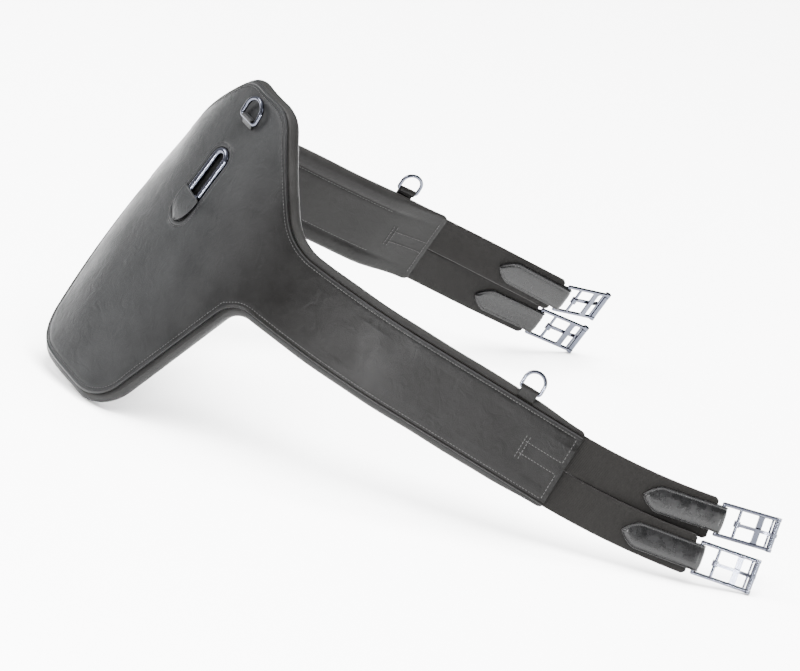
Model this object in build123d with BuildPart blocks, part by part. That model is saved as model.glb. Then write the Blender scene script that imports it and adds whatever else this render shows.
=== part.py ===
"""Stud girth: a padded leather belly guard with two arms, elastic straps and roller buckles.

Millimetres, +Z up.  The girth is bent into a U and stands on the rear lobe of its shield
and on its two rear buckles.  Its origin is on the floor, under the middle of its bounding box.

The band has its own coordinates, which every sub-part uses:
  along   distance along the band from the shield's centre line, negative towards the near arm
  across  distance across the band, positive towards the front edge, negative towards the lobe
  out     distance from the outer face of the outer leather, negative into the padding
"""
import os
from math import atan2, cos, pi, radians, sin, sqrt, tan

from build123d import *

os.makedirs("parts", exist_ok=True)

# --- how the girth stands ---------------------------------------------------------------
girth_origin = (-243.12, 187.08, 210.03)
tip_back = 16.13
roll_over = 8.86
lean = 9.0

# --- plan curve of the band: (length, bend radius), a radius of 0 is straight -------------
near_runs = ((20, 0), (300, 403), (400, 0))
far_runs = ((330, 158), (15, 0), (155, -765), (300, 0))
arm_end = 500.0
bend_line = 205.0
bend_gap = 5.0
arm_start = bend_line + bend_gap

# --- flat pattern of the outer leather, one half -----------------------------------------
arm_half_width = 40.0
front_reach = 140.0
front_flat = 34.0
front_foot = 143.0
front_radii = (48.0, 80.0)
lobe_reach = 216.0
lobe_flat = 61.0
lobe_foot = 124.0
lobe_radii = (46.0, 34.0)

# --- layers, from the outer face inwards --------------------------------------------------
leather = 3.0
lining = 1.0
webbing = 1.4
webbing_width = 50.0
pad_depth = 17.0
end_depth = 9.0
taper_start = 430.0
taper_end = 492.0
roll = 7.0
end_roll = 4.0
layer_gap = 0.1
foam_ease = 0.6
foam_end = 436.0
tail_length = 58.0
patch_length = 40.0
patch_width = 34.0
patch = 1.0

# --- elastic straps -----------------------------------------------------------------------
elastic = 2.3
elastic_width = 40.8
strap_spacing = 20.6
elastic_out = -6.45
hinge_reach = 2.5
strap_length = 156.0
elastic_stop = 10.0
corner_clip = 4.0

# --- chapes: the leather tabs that hold the buckles ------------------------------------------
chape_width = 27.0
chape_length = 80.0
chape_tip = 18.0
chape_leather = 2.5
chape_slot_start = 9.0
loop_clearance = 0.3

# --- roller buckles -------------------------------------------------------------------------
rail_spread = 16.0
rail_radius = 2.0
bar_radius = 1.8
pivot_reach = 19.0
pivot_radius = 1.6
flat_bar_reach = 42.0
flat_bar_width = 6.0
flat_bar_thickness = 2.0
flat_bar_drop = 0.9
window_fillet = 3.0
end_bar_reach = 54.0
end_bar_radius = 1.2
roller_reach = 59.0
axle_radius = 1.5
roller_radius = 3.1
roller_length = 27.6
knuckle_radius = 3.4
knuckle_width = 3.6
running_gap = 0.07
side_gap = 0.2
collar_radius = 3.3
collar_width = 6.0
tongue_width = 3.4
tongue_thickness = 2.2
tongue_tip = 61.5

# --- D-rings ----------------------------------------------------------------------------------
keeper_leather = 1.5
keeper_margin = 1.0
arm_ring = (1.9, 11.0, 9.0, 3.0)
arm_ring_along = {"near": -430.0, "far": 444.0}
arm_ring_across = 51.0
front_ring = (2.4, 13.0, 10.5, 3.4)
front_ring_along = -4.0
front_ring_across = 105.5
front_ring_out = 4.8
front_ring_rest = 8.0

# --- snap hook and its pocket -------------------------------------------------------------------
pocket_width = 30.0
pocket_length = 94.0
pocket_across = 22.0
pocket_floor = -9.2
pocket_leather = 1.2
hook_wire = 3.8
hook_half_width = 8.4
hook_foot = -1.0
hook_top = 63.8
hook_out = -1.2
nose_end = 46.0
hook_corner = 5.0
tab_width = 26.0
tab_tip = -22.0
tab_edge = 11.0
tab_slant = 2.0
tab_leather = 2.0
gate_pivot = 7.0
gate_wire = 3.2
cheek_radius = 4.4
cheek_height = 8.0
tang = 2.4
gate_pin_radius = 0.9
gate_bore = 1.5
gate_spring_wall = 0.5
gate_spring_length = 12.0

# Each strap: side, level, pitch, first heading, bend and the buckle's own angle, in degrees.
# Pitch turns it towards the inside of the U, the heading and bend turn it to the front.
straps = (
    ("near", "front", 6.0, 0.5, 12.0, 13.0),
    ("near", "rear", 2.0, 1.0, 10.0, 9.0),
    ("far", "front", 9.0, 1.0, -1.5, -28.0),
    ("far", "rear", 1.0, -3.5, 2.0, -4.0),
)

up = Vector(0, 0, 1).rotate(Axis.Y, tip_back).rotate(Axis.X, roll_over)
ahead = Vector(1, 0, 0).rotate(Axis.Y, tip_back).rotate(Axis.X, roll_over)
girth = Plane(origin=girth_origin, x_dir=ahead, z_dir=up)


def within(frame, move=(0, 0, 0), turn=(0, 0, 0)):
    """A plane moved and turned inside another plane."""
    return Plane(frame.location * Location(move, turn))


def face_of(frame, base, offset=0.0):
    """One of the standard planes, laid in another plane's axes."""
    return Plane(frame.location * base.offset(offset).location)


def save(builder, name):
    """Label a finished sub-part and write it under its own name."""
    builder.part.label = name
    export_step(builder.part, f"parts/{name}.step")


# ==============================================================================================
# The band's shape
# ==============================================================================================
def plan_position(along):
    """Plan position and turn of the band, at a distance along it."""
    runs = near_runs if along < 0 else far_runs
    left = abs(along)
    x = y = turn = 0.0
    for length, radius in runs:
        step = min(left, length)
        if radius == 0:
            x += step * sin(turn)
            y -= step * cos(turn)
        else:
            end = turn + step / radius
            x += radius * (cos(turn) - cos(end))
            y -= radius * (sin(end) - sin(turn))
            turn = end
        left -= step
    return x, y, turn


def band_plane(along):
    """Section plane of the band: x is outwards, y is across it to the front, z is along it."""
    side = 1.0 if along < 0 else -1.0
    x, y, turn = plan_position(along)
    outward = Vector(-cos(turn), -side * sin(turn), 0)
    upright = Vector(0, 0, 1)
    out_dir = outward * cos(radians(lean)) + upright * sin(radians(lean))
    section = Plane(origin=(x, side * y, 0), x_dir=out_dir, z_dir=outward.cross(upright))
    return Plane(girth.location * section.location)


def surface_plane(along, across, out):
    """Plane lying on the band: x is across it to the front, y is along it, z is outwards."""
    section = band_plane(along)
    origin = section.from_local_coords((out, across, 0))
    return Plane(origin=origin, x_dir=section.y_dir, z_dir=section.x_dir)


def edge_height(along, reach, flat, foot, base, radii, extra):
    """Distance of an outline's edge from the arm's middle line, widened by extra all along."""
    slope = atan2(reach - base, foot - flat)
    shift = extra * tan(slope / 2)
    outer = radii[0] + extra
    inner = radii[1] - extra
    top = reach + extra
    low = base + extra
    start = flat + shift - outer * tan(slope / 2)
    stop = foot + shift + inner * tan(slope / 2)
    place = abs(along)
    if place <= start:
        return top
    if place <= start + outer * sin(slope):
        return top - outer + sqrt(outer ** 2 - (place - start) ** 2)
    if place <= stop - inner * sin(slope):
        return top - (place - flat - shift) * tan(slope)
    if place <= stop:
        return low + inner - sqrt(inner ** 2 - (stop - place) ** 2)
    return low


def front_edge(along, extra=0.0):
    """Front edge of the pattern."""
    return edge_height(along, front_reach, front_flat, front_foot, arm_half_width, front_radii, extra)


def rear_edge(along, extra=0.0):
    """Rear edge of the pattern, with the shield's lobe."""
    return -edge_height(along, lobe_reach, lobe_flat, lobe_foot, arm_half_width, lobe_radii, extra)


def tapered(along, full, end):
    """A size that changes smoothly from its full value to its value at the end of the arm."""
    share = (abs(along) - taper_start) / (taper_end - taper_start)
    share = min(max(share, 0.0), 1.0)
    return full + (end - full) * (1 - cos(pi * share)) / 2


def stations(start, stop, step):
    """Evenly spaced distances along the band, both ends included."""
    count = max(2, round(abs(stop - start) / step))
    return [start + (stop - start) * i / count for i in range(count + 1)]


def pad_back(along):
    """Depth of the lining's inner face."""
    return tapered(along, -pad_depth, -end_depth)


def pad_edge(along):
    """Width of the padded roll beyond the outer leather."""
    return tapered(along, roll, end_roll)


def band_layer(places, section):
    """Loft one layer along the band; section gives its top, bottom, low, high and corner."""
    with BuildPart() as layer:
        for along in places:
            top, bottom, low, high, corner = section(along)
            with BuildSketch(band_plane(along)):
                with Locations(((top + bottom) / 2, (low + high) / 2)):
                    RectangleRounded(top - bottom, high - low, corner)
        loft(ruled=True)
    return layer.part


def leather_section(along):
    """The outer leather."""
    return 0, -leather, rear_edge(along), front_edge(along), leather * 0.3


def lining_section(along):
    """The outside of the lining's sleeve."""
    top = -leather - layer_gap
    back = pad_back(along)
    extra = pad_edge(along)
    corner = (top - back) * 0.42
    return top, back, rear_edge(along, extra), front_edge(along, extra), corner


def cavity_section(along):
    """The inside of the lining's sleeve."""
    top = -leather - layer_gap - lining
    back = pad_back(along) + lining
    extra = pad_edge(along) - lining
    corner = (top - back) * 0.42
    return top, back, rear_edge(along, extra), front_edge(along, extra), corner


def foam_section(along):
    """The foam inside the sleeve, on top of the webbing."""
    top = -leather - lining - 2 * layer_gap
    back = pad_back(along) + lining + webbing + 3 * layer_gap
    extra = pad_edge(along) - lining - foam_ease
    corner = (top - back) * 0.49
    return top, back, rear_edge(along, extra), front_edge(along, extra), corner


def webbing_section(along):
    """The woven strap that carries the pull from one arm to the other, behind the foam."""
    top = pad_back(along) + lining + webbing + 2 * layer_gap
    return top, top - webbing, -webbing_width / 2, webbing_width / 2, webbing * 0.3


def patch_section(along):
    """The stiffener sewn into the end of an arm."""
    top = -leather - lining - 2 * layer_gap
    return top, top - patch, -patch_width / 2, patch_width / 2, patch * 0.3


def tail_section(level):
    """The sewn-in end of the elastic at one level of an arm."""
    top = elastic_out + elastic / 2
    middle = level * strap_spacing
    low = middle - elastic_width / 2
    high = middle + elastic_width / 2
    return lambda along: (top, top - elastic, low, high, elastic * 0.3)


def recess(depth):
    """The hook's oval recess, from a depth in the padding outwards."""
    with BuildPart() as cutter:
        with BuildSketch(surface_plane(0, pocket_across, depth)):
            SlotOverall(pocket_length, pocket_width)
        extrude(amount=2 * pad_depth)
    return cutter.part


# ==============================================================================================
# Shield: the middle of the girth, which stays still
# ==============================================================================================
shield_end = bend_line - bend_gap
shield_step = 9.0

shield_places = stations(-shield_end, shield_end, shield_step)

with BuildPart() as shield_leather:
    add(band_layer(shield_places, leather_section))
    add(recess(-pad_depth / 2), mode=Mode.SUBTRACT)
save(shield_leather, "shield_leather")

with BuildPart() as shield_lining:
    add(band_layer(shield_places, lining_section))
    cavity_places = [-arm_start] + shield_places + [arm_start]
    add(band_layer(cavity_places, cavity_section), mode=Mode.SUBTRACT)
    add(recess(-pad_depth / 2), mode=Mode.SUBTRACT)
save(shield_lining, "shield_lining")

with BuildPart() as shield_foam:
    add(band_layer(shield_places, foam_section))
    add(recess(pocket_floor - pocket_leather - layer_gap), mode=Mode.SUBTRACT)
save(shield_foam, "shield_foam")

with BuildPart() as shield_webbing:
    add(band_layer(shield_places, webbing_section))
save(shield_webbing, "shield_webbing")

with BuildPart() as hook_pocket:
    with BuildSketch(surface_plane(0, pocket_across, pocket_floor - pocket_leather)):
        SlotOverall(pocket_length - 2 * layer_gap, pocket_width - 2 * layer_gap)
    extrude(amount=-pocket_floor + pocket_leather - leather - lining)
    with BuildSketch(surface_plane(0, pocket_across, pocket_floor)):
        SlotOverall(pocket_length - 2 * pocket_leather, pocket_width - 2 * pocket_leather)
    extrude(amount=pad_depth, mode=Mode.SUBTRACT)
save(hook_pocket, "hook_pocket")


# ==============================================================================================
# D-rings and their keepers
# ==============================================================================================
def d_ring(frame, size):
    """A D-ring of (wire radius, half width, leg, corner): its bar is along y, its arch along x."""
    ring_wire, ring_half_width, ring_leg, ring_corner = size
    with BuildPart() as ring:
        with BuildLine(frame) as wire:
            FilletPolyline(
                (ring_leg, ring_half_width),
                (0, ring_half_width),
                (0, -ring_half_width),
                (ring_leg, -ring_half_width),
                radius=ring_corner,
            )
            ThreePointArc(
                (ring_leg, -ring_half_width),
                (ring_leg + ring_half_width, 0),
                (ring_leg, ring_half_width),
            )
        with BuildSketch(Plane(origin=wire.line @ 0, z_dir=wire.line % 0)):
            Circle(ring_wire)
        sweep()
    return ring


def ring_keeper(frame, size, tab_reach, tab_height, tab_leather):
    """A leather loop round a D-ring's bar, with a tab that is sewn into the girth."""
    hole = size[0] + loop_clearance
    length = 2 * (size[1] - size[3] - keeper_margin)
    rim = hole + keeper_leather
    with BuildPart() as keeper:
        with BuildSketch(face_of(frame, Plane.XZ)):
            Circle(rim)
            with Locations((-tab_reach / 2, tab_height)):
                Rectangle(tab_reach, tab_leather)
            Circle(hole, mode=Mode.SUBTRACT)
        extrude(amount=length / 2, both=True)
    return keeper


front_seat = surface_plane(front_ring_along, front_ring_across, front_ring_out)
front_tab_height = keeper_leather / 2 + 2 * layer_gap - front_ring_out
front_keeper = ring_keeper(front_seat, front_ring, 12, front_tab_height, keeper_leather)
save(front_keeper, "front_ring_keeper")
front_hung = within(front_seat, turn=(0, -front_ring_rest, 0))
save(d_ring(front_hung, front_ring), "front_d_ring")

for side, along in arm_ring_along.items():
    ring_out = -leather - layer_gap - lining / 2
    seat = surface_plane(along, arm_ring_across, ring_out)
    save(ring_keeper(seat, arm_ring, 16, 0, lining - layer_gap), f"{side}_ring_keeper")
    save(d_ring(seat, arm_ring), f"{side}_d_ring")

# ==============================================================================================
# Snap hook, lying in the shield's pocket under its leather tab
# ==============================================================================================
hook_seat = surface_plane(0, 0, hook_out)

with BuildPart() as snap_hook:
    with BuildLine(hook_seat) as hook_line:
        FilletPolyline(
            (gate_pivot, -hook_half_width),
            (hook_foot, -hook_half_width),
            (hook_foot, hook_half_width),
            (hook_top, hook_half_width),
            (hook_top, -hook_half_width),
            (nose_end, -hook_half_width),
            radius=(hook_corner, hook_corner, hook_half_width - 0.2, hook_half_width - 0.2),
        )
    with BuildSketch(Plane(origin=hook_line.line @ 0, z_dir=hook_line.line % 0)):
        Circle(hook_wire)
    sweep()
    with BuildSketch(face_of(hook_seat, Plane.XY)):
        with Locations((gate_pivot, -hook_half_width)):
            Circle(cheek_radius)
    extrude(amount=cheek_height / 2, both=True)
    with BuildSketch(face_of(hook_seat, Plane.XY)):
        with Locations((gate_pivot + 1, -hook_half_width)):
            Rectangle(12, 12)
    extrude(amount=tang / 2 + side_gap, both=True, mode=Mode.SUBTRACT)
    with BuildSketch(face_of(hook_seat, Plane.XY)):
        with Locations((gate_pivot, -hook_half_width)):
            Circle(gate_pin_radius)
    extrude(amount=cheek_height, both=True, mode=Mode.SUBTRACT)
save(snap_hook, "snap_hook")

with BuildPart() as hook_gate:
    gate_start = gate_pivot + cheek_radius + 0.4
    with BuildSketch(face_of(hook_seat, Plane.YZ, gate_start)):
        with Locations((-hook_half_width, 0)):
            Circle(gate_wire)
    extrude(amount=nose_end - 0.4 - gate_start)
    with BuildSketch(face_of(hook_seat, Plane.XY)):
        with Locations((gate_pivot, -hook_half_width)):
            Circle(gate_wire)
        with Locations(((gate_pivot + gate_start + 1) / 2, -hook_half_width)):
            Rectangle(gate_start + 1 - gate_pivot, 2 * gate_wire)
    extrude(amount=tang / 2, both=True)
    with BuildSketch(face_of(hook_seat, Plane.XY)):
        with Locations((gate_pivot, -hook_half_width)):
            Circle(gate_pin_radius + running_gap)
    extrude(amount=tang, both=True, mode=Mode.SUBTRACT)
    with BuildSketch(face_of(hook_seat, Plane.YZ, gate_start + 4)):
        with Locations((-hook_half_width, 0)):
            Circle(gate_bore)
    extrude(amount=gate_spring_length + 2 * layer_gap, mode=Mode.SUBTRACT)
save(hook_gate, "hook_gate")

with BuildPart() as gate_spring:
    with BuildSketch(face_of(hook_seat, Plane.YZ, gate_start + 4 + layer_gap)):
        with Locations((-hook_half_width, 0)):
            Circle(gate_bore - layer_gap)
            Circle(gate_bore - layer_gap - gate_spring_wall, mode=Mode.SUBTRACT)
    extrude(amount=gate_spring_length)
save(gate_spring, "gate_spring")

with BuildPart() as gate_pin:
    with BuildSketch(face_of(hook_seat, Plane.XY)):
        with Locations((gate_pivot, -hook_half_width)):
            Circle(gate_pin_radius)
    extrude(amount=cheek_height / 2, both=True)
save(gate_pin, "gate_pin")

with BuildPart() as hook_tab:
    eye = hook_wire + loop_clearance
    rim = eye + tab_leather
    loop_half = hook_half_width - hook_corner
    with BuildSketch(face_of(hook_seat, Plane.XZ)):
        with Locations((hook_foot, 0)):
            Circle(rim)
            Circle(eye, mode=Mode.SUBTRACT)
    extrude(amount=loop_half, both=True)
    with BuildSketch(face_of(hook_seat, Plane.XY, eye + 2 * layer_gap)):
        with BuildLine():
            Polyline((-6, tab_width / 2), (tab_edge + tab_slant, tab_width / 2),
                     (tab_edge - tab_slant, -tab_width / 2), (-6, -tab_width / 2))
            ThreePointArc((-6, -tab_width / 2), (-17, -tab_width / 4), (tab_tip, 0))
            ThreePointArc((tab_tip, 0), (-17, tab_width / 4), (-6, tab_width / 2))
        make_face()
    extrude(amount=tab_leather - 3 * layer_gap)
save(hook_tab, "hook_tab")

# ==============================================================================================
# Arms
# ==============================================================================================
arm_step = 12.0

for side, sign in (("near", -1), ("far", 1)):
    arm_places = stations(sign * arm_start, sign * arm_end, arm_step)
    padded_places = [along for along in arm_places if abs(along) < foam_end]

    with BuildPart() as arm_leather:
        add(band_layer(arm_places, leather_section))
    save(arm_leather, f"{side}_arm_leather")

    with BuildPart() as arm_lining:
        add(band_layer(arm_places, lining_section))
        cavity_places = [sign * (arm_start - 1)] + arm_places + [sign * (arm_end + 1)]
        add(band_layer(cavity_places, cavity_section), mode=Mode.SUBTRACT)
    save(arm_lining, f"{side}_arm_lining")

    with BuildPart() as arm_foam:
        add(band_layer(padded_places, foam_section))
    save(arm_foam, f"{side}_arm_foam")

    with BuildPart() as arm_webbing:
        add(band_layer(padded_places, webbing_section))
    save(arm_webbing, f"{side}_arm_webbing")

    with BuildPart() as end_patch:
        patch_places = [along for along in arm_places if abs(along) > arm_end - patch_length]
        add(band_layer(patch_places, patch_section))
    save(end_patch, f"{side}_end_patch")

    with BuildPart() as elastic_tails:
        tail_places = [along for along in arm_places if abs(along) > arm_end - tail_length]
        for level in (-1, 1):
            add(band_layer(tail_places, tail_section(level)))
    save(elastic_tails, f"{side}_elastic_tails")


# ==============================================================================================
# Elastic straps, each with its chape and roller buckle
# ==============================================================================================
def strap_plane(side, level, pitch):
    """A strap's own plane at its bend line: x along the strap, y along the bend, z outwards."""
    sign = -1 if side == "near" else 1
    across = strap_spacing if level == "front" else -strap_spacing
    section = band_plane(sign * arm_end)
    origin = section.from_local_coords((elastic_out, across, sign * hinge_reach))
    outwards = Plane(origin=origin, x_dir=section.z_dir * sign, z_dir=section.x_dir)
    return within(outwards, turn=(0, pitch, 0))


def strap_point(distance, sideways, heading, bend, front):
    """A point of the strap's flat outline; front is the sign of the front edge along y."""
    start = radians(heading) * front
    end = start + radians(bend) * front * distance / strap_length
    radius = strap_length / (radians(bend) * front)
    x = radius * (sin(end) - sin(start)) - sideways * sin(end)
    y = radius * (cos(start) - cos(end)) + sideways * cos(end)
    return x, y


def elastic_strap(frame, heading, bend, front):
    """The visible elastic, from its bend line to its clipped end inside the chape."""
    half = elastic_width / 2
    stop = strap_length - elastic_stop
    clip = stop - corner_clip

    def place(distance, sideways):
        return strap_point(distance, sideways, heading, bend, front)

    with BuildPart() as strap:
        with BuildSketch(frame):
            with BuildLine():
                ThreePointArc((0, half), place(clip / 2, half), place(clip, half))
                Polyline(
                    place(clip, half),
                    place(stop, half - corner_clip),
                    place(stop, corner_clip - half),
                    place(clip, -half),
                )
                ThreePointArc(place(clip, -half), place(clip / 2, -half), (0, -half))
                Line((0, -half), (0, half))
            make_face()
        extrude(amount=elastic / 2, both=True)
        with BuildSketch(face_of(frame, Plane.XZ)):
            Circle(elastic / 2)
        extrude(amount=half, both=True)
    return strap


def chape(frame):
    """A leather tab folded round the buckle's bar and sewn to both faces of the elastic."""
    slot = elastic / 2 + layer_gap
    face = slot + chape_leather
    hole = bar_radius + loop_clearance
    straight = chape_length - chape_tip
    with BuildPart() as tab:
        with BuildSketch(frame):
            with Locations((-straight / 2, 0)):
                Rectangle(straight, chape_width)
            with Locations((-straight, 0)):
                Ellipse(chape_tip, chape_width / 2)
        extrude(amount=face, both=True)
        with BuildSketch(face_of(frame, Plane.XZ)):
            Circle(hole + chape_leather)
        extrude(amount=chape_width / 2, both=True)
        with BuildSketch(face_of(frame, Plane.XZ)):
            Circle(hole)
            with Locations((-chape_slot_start - chape_length / 2, 0)):
                Rectangle(chape_length, 2 * slot)
        extrude(amount=chape_width, both=True, mode=Mode.SUBTRACT)
    return tab


def buckle_frame(frame):
    """The buckle's one-piece frame: its end bar is at the origin and the roller end along x."""
    with BuildPart() as body:
        with BuildSketch(face_of(frame, Plane.YZ)):
            with Locations((rail_spread, 0), (-rail_spread, 0)):
                Circle(rail_radius)
        extrude(amount=roller_reach)
        with Locations(*(within(frame, (0, y, 0)).location for y in (rail_spread, -rail_spread))):
            Sphere(rail_radius)
        bars = ((0, bar_radius), (pivot_reach, pivot_radius), (end_bar_reach, end_bar_radius),
                (roller_reach, axle_radius))
        with BuildSketch(face_of(frame, Plane.XZ)):
            for reach, radius in bars:
                with Locations((reach, 0)):
                    Circle(radius)
        extrude(amount=rail_spread, both=True)
        with BuildSketch(face_of(frame, Plane.XY, -flat_bar_drop - flat_bar_thickness / 2)):
            with Locations((flat_bar_reach, 0)):
                Rectangle(flat_bar_width + 2 * window_fillet, 2 * rail_spread)
            for step in (-1, 1):
                width = 2 * (rail_spread - rail_radius / 2)
                with Locations((flat_bar_reach + step * (flat_bar_width / 2 + window_fillet), 0)):
                    RectangleRounded(2 * window_fillet, width, window_fillet * 0.95,
                                     mode=Mode.SUBTRACT)
        extrude(amount=flat_bar_thickness)
        for level in (-1, 1):
            knuckle = level * (rail_spread + rail_radius - knuckle_width / 2)
            with BuildSketch(face_of(frame, Plane.XZ, -knuckle)):
                with Locations((roller_reach, 0)):
                    Circle(knuckle_radius)
            extrude(amount=knuckle_width / 2, both=True)
    return body


def roller(frame):
    """The tube that turns on the buckle's axle."""
    with BuildPart() as tube:
        with BuildSketch(face_of(frame, Plane.XZ)):
            with Locations((roller_reach, 0)):
                Circle(roller_radius)
                Circle(axle_radius + running_gap, mode=Mode.SUBTRACT)
        extrude(amount=roller_length / 2, both=True)
        rims = tube.edges().filter_by(GeomType.CIRCLE).sort_by(SortBy.RADIUS)[-2:]
        fillet(rims, radius=0.5)
    return tube


def tongue(frame):
    """The tongue: a collar round the pivot bar and a prong that rests on the roller."""
    rest = roller_radius + layer_gap
    low = 1.3
    with BuildPart() as prong:
        with BuildSketch(face_of(frame, Plane.XZ)):
            with Locations((pivot_reach, 0)):
                Circle(collar_radius)
                Circle(pivot_radius + running_gap, mode=Mode.SUBTRACT)
        extrude(amount=collar_width / 2, both=True)
        with BuildSketch(face_of(frame, Plane.XZ)):
            with BuildLine():
                Line((pivot_reach + 2.2, low), (flat_bar_reach + 3, low))
                ThreePointArc((flat_bar_reach + 3, low), (flat_bar_reach + 10, low + 0.8),
                              (roller_reach - 1.5, rest))
                Polyline((roller_reach - 1.5, rest), (tongue_tip, rest), (tongue_tip, rest + 1.2),
                         (roller_reach - 2, rest + tongue_thickness))
                ThreePointArc((roller_reach - 2, rest + tongue_thickness),
                              (flat_bar_reach + 8, low + tongue_thickness + 0.5),
                              (flat_bar_reach + 2, low + tongue_thickness))
                Polyline((flat_bar_reach + 2, low + tongue_thickness),
                         (pivot_reach + 1, collar_radius),
                         (pivot_reach + 2.2, low))
            make_face()
        extrude(amount=tongue_width / 2, both=True)
    return prong


for side, level, pitch, heading, bend, swing in straps:
    front = 1 if side == "near" else -1
    name = f"{side}_{level}"
    root = strap_plane(side, level, pitch)
    save(elastic_strap(root, heading, bend, front), f"{name}_elastic")
    x, y = strap_point(strap_length, 0, heading, bend, front)
    bar = within(root, (x, y, 0), (0, 0, front * (heading + bend)))
    save(chape(bar), f"{name}_chape")
    hung = within(bar, turn=(0, swing, 0))
    save(buckle_frame(hung), f"{name}_buckle")
    save(roller(hung), f"{name}_roller")
    save(tongue(hung), f"{name}_tongue")
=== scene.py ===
"""Looks of the stud girth: leather, padding, elastic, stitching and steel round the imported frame.

Meshes are built in millimetres in the frame's own axes, and follow the band's coordinates:
along the band from its centre line, across it, and out from the outer leather's face.
"""
import math

import bmesh
import bpy
import numpy as np
from mathutils import Matrix, Vector


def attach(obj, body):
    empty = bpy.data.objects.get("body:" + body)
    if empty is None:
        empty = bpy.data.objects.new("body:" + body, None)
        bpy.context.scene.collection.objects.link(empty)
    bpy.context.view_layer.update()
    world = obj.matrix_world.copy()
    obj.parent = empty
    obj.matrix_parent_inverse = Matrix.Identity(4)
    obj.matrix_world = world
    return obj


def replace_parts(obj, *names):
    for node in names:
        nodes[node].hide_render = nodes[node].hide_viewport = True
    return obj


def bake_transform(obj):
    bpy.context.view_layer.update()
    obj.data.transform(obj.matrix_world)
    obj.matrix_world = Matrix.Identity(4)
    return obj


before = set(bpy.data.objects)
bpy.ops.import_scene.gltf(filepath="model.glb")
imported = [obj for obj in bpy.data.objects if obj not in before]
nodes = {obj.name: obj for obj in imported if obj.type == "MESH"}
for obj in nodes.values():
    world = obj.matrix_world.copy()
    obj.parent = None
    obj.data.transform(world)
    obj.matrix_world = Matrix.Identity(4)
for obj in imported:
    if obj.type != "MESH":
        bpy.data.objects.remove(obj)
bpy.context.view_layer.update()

MM = 0.001

# --- how the girth stands, as in the part's source; lengths in millimetres throughout -------
GIRTH_ORIGIN = np.array([-243.12, 187.08, 210.03])
TIP_BACK = 16.13
ROLL_OVER = 8.86
LEAN = math.radians(9.0)

# --- the band: runs are (length, bend radius), where a radius of 0 is straight ---------------
NEAR_RUNS = ((20, 0), (300, 403), (400, 0))
FAR_RUNS = ((330, 158), (15, 0), (155, -765), (300, 0))
ARM_END = 500.0
ARM_HALF = 40.0
# Each outline: its reach, half its flat, the foot of its slope, and its two corner radii.
FRONT = (137.5, 39.0, 143.0, 50.0, 80.0)
LOBE = (216.0, 61.0, 124.0, 46.0, 34.0)
LEATHER = 3.0
PAD_DEPTH = 17.0
END_DEPTH = 9.0
# The padding thins between these two distances; its roll is given at full and at the ends.
TAPER = (430.0, 492.0)
ROLL = (7.0, 4.0)
# The front roll is smaller by this much at the centre, over this distance to each side.
ROLL_DIP = (2.0, 45.0)
LAYER_GAP = 0.15
SPLIT = 160.0
# The arm's mesh bends between these two distances from the centre.
BLEND = (182.0, 228.0)
BAND_PARTS = (("near", -ARM_END, -SPLIT), ("shield", -SPLIT, SPLIT), ("far", SPLIT, ARM_END))

# --- elastic straps and chapes ----------------------------------------------------------------
ELASTIC = 2.3
ELASTIC_WIDTH = 40.8
STRAP_SPACING = 20.6
ELASTIC_OUT = -6.45
HINGE_REACH = 2.5
STRAP_LENGTH = 156.0
CHAPE_WIDTH = 27.0
CHAPE_LENGTH = 80.0
CHAPE_TIP = 18.0
CHAPE_LEATHER = 2.4
TIP_CURVE = 1.55
BAR_HOLE = 2.15
# Each strap: side, level, pitch, heading, bend, and how far its inner edge fills towards its pair.
STRAPS = (
    ("near", "front", 6.0, 0.5, 12.0, 3.0),
    ("near", "rear", 2.0, 1.0, 10.0, 0.8),
    ("far", "front", 9.0, 1.0, -1.5, 0.4),
    ("far", "rear", 1.0, -3.5, 2.0, 8.0),
)

# --- hook pocket, tab and rings -----------------------------------------------------------------
# The pocket: length, width, its middle across the band, and its floor.
POCKET = (94.0, 30.0, 22.0, -9.2)
HOOK_OUT = -1.2
HOOK_WIRE = 3.8
# The tab: width, where its cut edge lies, the edge's slant, and its shift to the side.
TAB = (30.0, 11.0, 2.0, -1.5)
# Rings: where the bar lies, then the wire's radius and half the keeper's width.
FRONT_RING = (-4.0, 105.5, 4.8, 2.4, 8.6)
ARM_RINGS = (("near", -430.0), ("far", 444.0))
ARM_RING = (51.0, -3.6, 1.9, 9.2)

# --- stitching ------------------------------------------------------------------------------------
EDGE_INSET = 5.0
EDGE_SUNK = -0.12
END_MARGIN = 6
# The T at an arm's end: half the gap between its two legs, its two bars, and half their width.
T_LEG = 6.6
T_BARS = (45.0, 49.0)
T_BAR_HALF = 13
SEAM_HALF = 34.5
LINING_SEAM_HALF = 33.5
GROOVE_INSET = 20.0
# How far back from the arm's end the legs reach on the leather and on the lining.
LEG_REACH = (48, 46)
# Rises of the lining's rows over its inner face: the seam and legs, the bars, and the groove's row.
SEAM_RISE = 0.1
BAR_RISE = 0.8
GROOVE_RISE = 2.9
GROOVE_RUN = (SPLIT + 30, ARM_END - 60)

# UVs along and across a piece are in units of this many millimetres.
UV_UNIT = 100.0

TURN = np.array(
    Matrix.Rotation(math.radians(ROLL_OVER), 3, "X")
    @ Matrix.Rotation(math.radians(TIP_BACK), 3, "Y")
)


# --- the band's shape -------------------------------------------------------------------
def plan_position(along):
    """Plan position and turn of the band, at a distance along it."""
    runs = NEAR_RUNS if along < 0 else FAR_RUNS
    left = abs(along)
    x = y = turn = 0.0
    for length, radius in runs:
        step = min(left, length)
        if radius == 0:
            x += step * math.sin(turn)
            y -= step * math.cos(turn)
        else:
            end = turn + step / radius
            x += radius * (math.cos(turn) - math.cos(end))
            y -= radius * (math.sin(end) - math.sin(turn))
            turn = end
        left -= step
    return x, y, turn


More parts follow.
